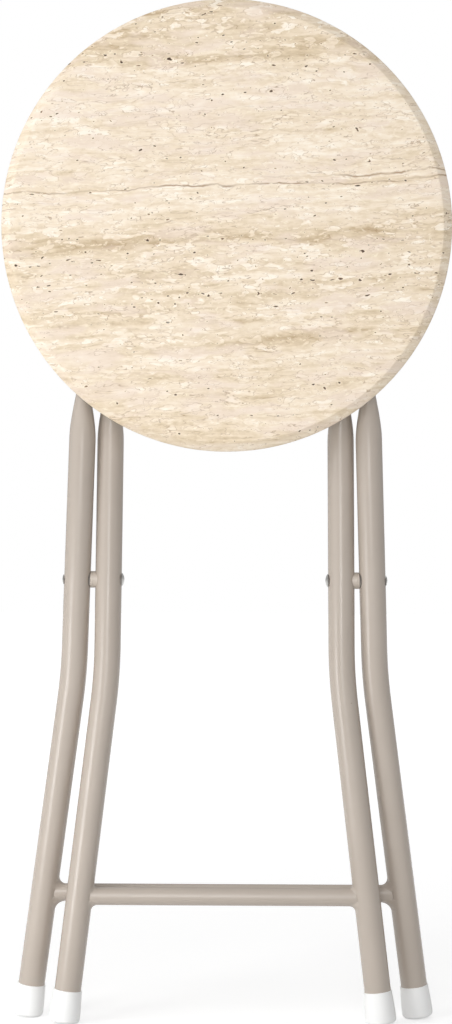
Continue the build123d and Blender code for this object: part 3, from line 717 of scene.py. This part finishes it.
# Rod clip: an open ring on a foot, one outline pulled through its width, all edges eased as mouldings are
def rodClip(clip):
    ringY, ringZ = clip["centre"]
    post = clip["post"] / 2
    half = clip["length"] / 2
    top = clip["base"] + clip["thickness"]
    middle = (clip["bore"] + clip["ring"]) / 2
    lip = (clip["ring"] - clip["bore"]) / 2
    foot = math.degrees(math.asin(post / clip["ring"]))
    mouth = clip["mouthAngle"]
    upper = [(clip["base"], half)]
    upper += arc((top - clip["footRound"], half - clip["footRound"]), clip["footRound"], 90, 0, 4)
    upper += arc((top + clip["neckRound"], post + clip["neckRound"]), clip["neckRound"], 180, 270, 5)
    upper += arc((ringY, 0), clip["ring"], 180 - foot, mouth, 22)
    lipPlace = (ringY + middle * math.cos(math.radians(mouth)), middle * math.sin(math.radians(mouth)))
    upper += arc(lipPlace, lip, mouth, mouth - 180, 8)[1:]
    upper += arc((ringY, 0), clip["bore"], mouth, 180, 18)[1:]
    lower = [(y, -z) for y, z in reversed(upper[:-1])]
    outline = upper + lower
    tidy = bmesh.new()
    corners = [tidy.verts.new((-clip["width"] / 2, y, ringZ + z)) for y, z in outline]
    face = tidy.faces.new(corners)
    grown = bmesh.ops.extrude_face_region(tidy, geom=[face])["geom"]
    farEnd = [g for g in grown if isinstance(g, bmesh.types.BMVert)]
    bmesh.ops.translate(tidy, verts=farEnd, vec=(clip["width"], 0, 0))
    bmesh.ops.recalc_face_normals(tidy, faces=tidy.faces)
    rims = [edge for edge in tidy.edges if abs(edge.verts[0].co.x - edge.verts[1].co.x) < 0.01]
    bmesh.ops.bevel(tidy, geom=rims, offset=clip["ease"], segments=3, profile=0.5, affect="EDGES")
    # the bevel's own numbering changes from run to run, so points and faces are put in order before the cut
    points = sorted(tuple(corner.co) for corner in tidy.verts)
    place = {point: number for number, point in enumerate(points)}
    faces = []
    for side in tidy.faces:
        ring = [place[tuple(corner.co)] for corner in side.verts]
        first = ring.index(min(ring))
        faces.append(ring[first:] + ring[:first])
    mesh = meshFrom(points, sorted(faces))
    tidy.clear()
    tidy.from_mesh(mesh)
    bmesh.ops.triangulate(tidy, faces=[f for f in tidy.faces if len(f.verts) > 4])
    tidy.to_mesh(mesh)
    tidy.free()
    return mesh


clipSizes = {"width": 14.0, "length": 35.0, "thickness": 3.0, "base": -14.452, "post": 9.0, "bore": 4.3,
             "ring": 6.9, "centre": (5.392, 307.269), "mouthAngle": 56.0, "ease": 0.45, "footRound": 1.2,
             "neckRound": 1.5, "x": 46.0}
for sideName, sign in (("right", 1), ("left", -1)):
    clipMesh = rodClip(clipSizes)
    clipMesh.transform(Matrix.Translation((sign * clipSizes["x"], 0, 0)))
    finishPiece(clipMesh, f"rodClip.{sideName}", "seat", "clip_plastic", [f"rod_clip_{sideName}"], 40.0)
print("rod clips moulded")


# Seat film: face, bevelled edge and side in one skin, with the print laid along the surface
def seatFilm(film):
    radius = film["diameter"] / 2
    top = film["thickness"]
    tilt = film["bevelTilt"]
    fall = math.tan(math.radians(tilt))
    crease = film["creaseRound"] * math.tan(math.radians(tilt / 2))
    faceEdge = radius - film["bevelWidth"] - crease
    nose = film["noseRound"]
    bevelEnd = film["bevelWidth"] - nose + nose * math.sin(math.radians(tilt))
    noseRise = top - bevelEnd * fall - nose * math.cos(math.radians(tilt))
    skin = [(faceEdge * share, top) for share in (0, 0.04, 0.2, 0.4, 0.6, 0.8, 0.95)]
    skin += arc((faceEdge, top - film["creaseRound"]), film["creaseRound"], 90, 90 - tilt, 4)
    skin += arc((radius - nose, noseRise), nose, 90 - tilt, 0, 6)
    skin += [(radius, 4.0), (radius, 0.0)]
    travel = [0.0]
    for a, b in zip(skin, skin[1:]):
        travel.append(travel[-1] + math.dist(a, b))
    thin = film["film"]
    edge = (film["coreWidth"] ** 2 + film["coreDepth"] ** 2) / (2 * film["coreWidth"])
    centre = (radius - edge, top - film["coreDepth"])
    back = [(radius - thin, 0.0), (radius - thin, centre[1])]
    sweep = math.degrees(math.asin((film["coreDepth"] - thin) / (edge - thin)))
    back += arc(centre, edge - thin, 0, sweep, 14)
    back.append((0, top - thin))
    profile = skin + back
    travel += [travel[-1]] * len(back)
    steps = 256
    mesh = turned(profile, steps)
    lay = mesh.attributes.new("printLay", "FLOAT_VECTOR", "POINT")
    distances = [d for (r, h), d in zip(profile, travel) for i in range(1 if r == 0 else steps)]
    values = []
    for vertex, distance in zip(mesh.vertices, distances):
        angle = math.atan2(vertex.co.y, vertex.co.x)
        values += [distance * math.cos(angle), distance * math.sin(angle), 0.0]
    lay.data.foreach_set("vector", values)
    return outward(mesh)


seatSizes = {"diameter": 300.0, "thickness": 16.0, "film": 0.5, "bevelWidth": 6.0, "bevelTilt": 34.0,
             "creaseRound": 2.0, "noseRound": 2.2, "coreWidth": 6.0, "coreDepth": 8.0,
             "back": -14.452, "centreRise": 237.5}
seatPlace = (Matrix.Translation((0, seatSizes["back"], seatSizes["centreRise"]))
             @ Matrix.Rotation(math.pi / 2, 4, "X"))
filmMesh = seatFilm(seatSizes)
filmMesh.transform(seatPlace)
finishPiece(filmMesh, "seatFilm", "seat", "travertine_foil", ["seat_foil"])
print("seat film laid")


# Rivets and screws are turned once and set out on points, each along its point's direction
def fastenerTree():
    tree, given = newTree("setFasteners", {
        "Geometry": "Geometry", "Fastener": "Object", "Spin": "Float", "Seed": "Int",
        "Material": "Material"})
    shape = addNode(tree, "GeometryNodeObjectInfo", inputs={"Object": (given, "Fastener")})
    aim = addNode(tree, "GeometryNodeInputNamedAttribute", {"data_type": "FLOAT_VECTOR"}, {"Name": "aim"})
    aimed = addNode(tree, "FunctionNodeAlignRotationToVector", {"axis": "Z"},
                    {"Vector": (aim, "Attribute")})
    spin = addNode(tree, "FunctionNodeRandomValue", {"data_type": "FLOAT"},
                   {2: 0.0, 3: (given, "Spin"), "Seed": (given, "Seed")})
    spun = addNode(tree, "CombineXYZ", inputs={2: (spin, 1)})
    spun = addNode(tree, "FunctionNodeEulerToRotation", inputs={0: spun})
    both = addNode(tree, "FunctionNodeRotateRotation", {"rotation_space": "LOCAL"}, {0: aimed, 1: spun})
    placed = addNode(tree, "GeometryNodeInstanceOnPoints", inputs={
        "Points": given, "Instance": (shape, "Geometry"), "Rotation": both})
    closeTree(tree, placed, given)
    return tree


def domeProfile(radius, height, base, steps):  # from the rim up to the top
    ball = (radius ** 2 + height ** 2) / (2 * height)
    middle = base + height - ball
    angles = [math.asin(radius / ball) * (1 - i / steps) for i in range(steps)]
    return [(ball * math.sin(a), middle + ball * math.cos(a)) for a in angles] + [(0, base + height)]


def rivet(sizes):  # stands on its clenched end, the made head at the top
    half = (sizes["to"] - sizes["from"]) / 2
    ease = 0.15
    step = 0.02  # the dome starts just inside the rim
    ends = []
    for head in (sizes["clenched"], sizes["head"]):
        end = [(sizes["shank"], half), (head["radius"] - ease, half), (head["radius"], half + ease)]
        ends.append(end + domeProfile(head["radius"] - step, head["height"] - ease, half + ease, 8))
    return turned([(r, -h) for r, h in reversed(ends[0])] + ends[1], 40)


def woodScrew(sizes):  # head up; a cross recess is cut into the dome
    rim = sizes["head"]
    ease = sizes["ease"]
    profile = [(0, -sizes["length"]), (sizes["shank"], sizes["point"] - sizes["length"]),
               (sizes["shank"], 0), (rim - 0.2, 0), (rim, ease)]
    profile += domeProfile(rim - 0.03, sizes["height"] - ease, ease, 10)
    cutter = bpy.data.meshes.new("recess")
    cut = bmesh.new()
    for turn in (0, math.pi / 2):
        bar = bmesh.ops.create_cube(cut, size=1.0)["verts"]
        for vertex in bar:
            narrow = 0.45 if vertex.co.z < 0 else 1.0
            vertex.co = Vector((vertex.co.x * sizes["slot"] * narrow,
                                vertex.co.y * sizes["slotWidth"] * (0.7 + 0.3 * narrow),
                                vertex.co.z * sizes["slotDepth"] + sizes["height"] + ease))
        bmesh.ops.rotate(cut, verts=bar, matrix=Matrix.Rotation(turn, 3, "Z"))
    cut.to_mesh(cutter)
    cut.free()
    return carved(turned(profile, 48), cutter)


def setFasteners(name, mesh, spots, spin, body, nodes):
    pattern = bpy.data.objects.new("pattern", mesh)
    bpy.context.scene.collection.objects.link(pattern)
    carrier = meshFrom([place for place, aim in spots])
    aims = carrier.attributes.new("aim", "FLOAT_VECTOR", "POINT")
    aims.data.foreach_set("vector", [value for place, aim in spots for value in aim])
    values = {"Fastener": pattern, "Spin": spin, "Seed": 7, "Material": finishes["zinc_steel"]}
    placed = grow(fixTree, carrier, values)
    bpy.data.objects.remove(pattern)
    finishPiece(placed, name, body, "zinc_steel", nodes, 40.0)


fixTree = fastenerTree()
rivetSizes = {  # made heads face inwards; a pivot rivet shows only its ends, as the legs hide the shank
    "pivotRivets": {"from": 70.0, "to": 109.6, "rise": 0.0, "shank": 0.0, "node": "pivot_rivets",
                    "head": {"radius": 4.5, "height": 1.6}, "clenched": {"radius": 3.4, "height": 1.0}},
    "hingeRivets": {"from": 95.083, "to": 100.983, "rise": 165.1, "shank": 3.0, "node": "hinge_rivets",
                    "head": {"radius": 5.5, "height": 2.2}, "clenched": {"radius": 5.2, "height": 2.1}},
}
for name, sizes in rivetSizes.items():
    middle = (sizes["from"] + sizes["to"]) / 2
    spots = [((side * middle, 0, sizes["rise"]), (-side, 0, 0)) for side in (1, -1)]
    setFasteners(name, rivet(sizes), spots, 0.0, "outer_frame", [sizes["node"]])
screwSizes = {"length": 12.0, "shank": 1.7, "point": 3.0, "head": 3.5, "height": 2.4, "ease": 0.25,
              "slot": 4.2, "slotWidth": 0.75, "slotDepth": 3.2}
screwSets = {  # X, Y of the head's seat, and the two heights
    "bracketScrews": {"x": 109.183, "y": -12.432, "rises": (154.6, 175.6), "node": "bracket_screws"},
    "clipScrews": {"x": 46.0, "y": -11.432, "rises": (294.769, 319.769), "node": "clip_screws"},
}
for name, sizes in screwSets.items():
    spots = [((side * sizes["x"], sizes["y"], rise), (0, 1, 0))
             for side in (1, -1) for rise in sizes["rises"]]
    setFasteners(name, woodScrew(screwSizes), spots, math.pi / 2, "seat", [sizes["node"]])
print("rivets and screws set")


# White surroundings: white to the camera, bright in reflections, with a soft light that is stronger behind
def paleWorld(studio):
    world = bpy.data.worlds.new("paleStudio")
    bpy.context.scene.world = world
    world.use_nodes = True
    tree = world.node_tree
    tree.nodes.clear()
    path = addNode(tree, "LightPath")
    where = addNode(tree, "TexCoord")
    way = addNode(tree, "SeparateXYZ", inputs={0: (where, "Generated")})
    soft = addNode(tree, "MapRange", inputs={
        0: (way, 1), 1: 0.25, 2: 0.9, 3: studio["front"], 4: studio["back"]})
    shiny = addNode(tree, "MapRange", inputs={
        0: (way, 1), 1: -0.2, 2: 0.6, 3: 1.0, 4: studio["mirrored"]})
    level = addNode(tree, "MapRange", inputs={0: (path, "Is Glossy Ray"), 3: soft, 4: shiny})
    seen = addNode(tree, "Math", "MAXIMUM",
                   {0: (path, "Is Camera Ray"), 1: (path, "Is Transmission Ray")})
    level = addNode(tree, "MapRange", inputs={0: seen, 3: level, 4: 1.0})
    light = addNode(tree, "Background", inputs={"Color": (1, 1, 1, 1), "Strength": level})
    addNode(tree, "OutputWorld", inputs={"Surface": light})


def paleFloor(studio):
    mesh = meshFrom([(-4, -4, 0), (4, -4, 0), (4, 6, 0), (-4, 6, 0)], [(0, 1, 2, 3)])
    floor = bpy.data.objects.new("studioFloor", mesh)
    bpy.context.scene.collection.objects.link(floor)
    material = bpy.data.materials.new("paleFloorPaper")
    material.use_nodes = True
    tree = material.node_tree
    tree.nodes.clear()
    path = addNode(tree, "LightPath")
    seen = addNode(tree, "Math", "MAXIMUM", {0: (path, "Is Camera Ray"), 1: (path, "Is Glossy Ray")})
    seen = addNode(tree, "Math", "MAXIMUM", {0: seen, 1: (path, "Is Transmission Ray")})
    tone = addNode(tree, "MapRange", inputs={0: seen, 3: studio["paper"], 4: studio["seen"]})
    paper = addNode(tree, "BsdfDiffuse", inputs={"Color": tone})
    where = addNode(tree, "TexCoord")
    away = addNode(tree, "VectorMath", "LENGTH", {0: (where, "Object")})
    lift = addNode(tree, "MapRange", inputs={
        0: (away, 1), 1: 0.3, 2: 1.5, 3: studio["near"], 4: studio["far"]})
    lift = addNode(tree, "Math", "MULTIPLY", {0: seen, 1: lift})
    glow = addNode(tree, "Emission", inputs={"Strength": lift})
    both = addNode(tree, "AddShader", inputs={0: paper, 1: glow})
    addNode(tree, "OutputMaterial", inputs={"Surface": both})
    mesh.materials.append(material)


def softbox(name, place, aim, size, watts, fan=180.0):  # fan: the angle it spreads over
    lamp = bpy.data.lights.new(name, "AREA")
    lamp.shape = "RECTANGLE"
    lamp.size, lamp.size_y = size
    lamp.energy = watts
    lamp.spread = math.radians(fan)
    holder = bpy.data.objects.new(name, lamp)
    bpy.context.scene.collection.objects.link(holder)
    direction = Vector(aim) - Vector(place)
    turn = direction.to_track_quat("-Z", "Y").to_matrix().to_4x4()
    holder.matrix_world = Matrix.Translation(place) @ turn


studio = {"front": 0.39, "back": 1.2, "mirrored": 0.5, "paper": 0.82, "seen": 0.6,
          "near": 0.55, "far": 0.75}
paleWorld(studio)
paleFloor(studio)
softbox("keyLeft", (-1.57, -0.98, 1.11), (0.0, 0.0, 0.36), (1.2, 1.2), 14.3)
softbox("frontBox", (-0.4, -2.85, 1.52), (0.0, 0.0, 0.36), (1.6, 1.6), 20.5)
softbox("byCamera", (-0.07, -1.52, 0.36), (0.0, 0.0, 0.36), (0.34, 0.26), 2.0)
softbox("lowLeft", (-0.6, -0.48, 0.12), (-0.12, 0.0, 0.08), (0.3, 0.3), 0.3, 76.0)

# The photograph's view: level with the middle of the stool, 1.5 m in front of the pivot
view = {"x": 0.0005, "height": 0.3457, "distance": 1.5, "focal": 2203.6, "frameHeight": 1024, "roll": 0.3}
lens = bpy.data.cameras.new("frontView")
lens.sensor_width = 36.0
lens.lens = 36.0 * view["focal"] / view["frameHeight"]  # the sensor spans the upright side
camera = bpy.data.objects.new("frontView", lens)
bpy.context.scene.collection.objects.link(camera)
camera.matrix_world = (Matrix.Translation((view["x"], pivot.y - view["distance"], view["height"]))
                       @ Matrix.Rotation(math.pi / 2, 4, "X")
                       @ Matrix.Rotation(math.radians(view["roll"]), 4, "Z"))
bpy.context.scene.camera = camera
bpy.context.scene.view_settings.view_transform = "Standard"
print("studio ready")
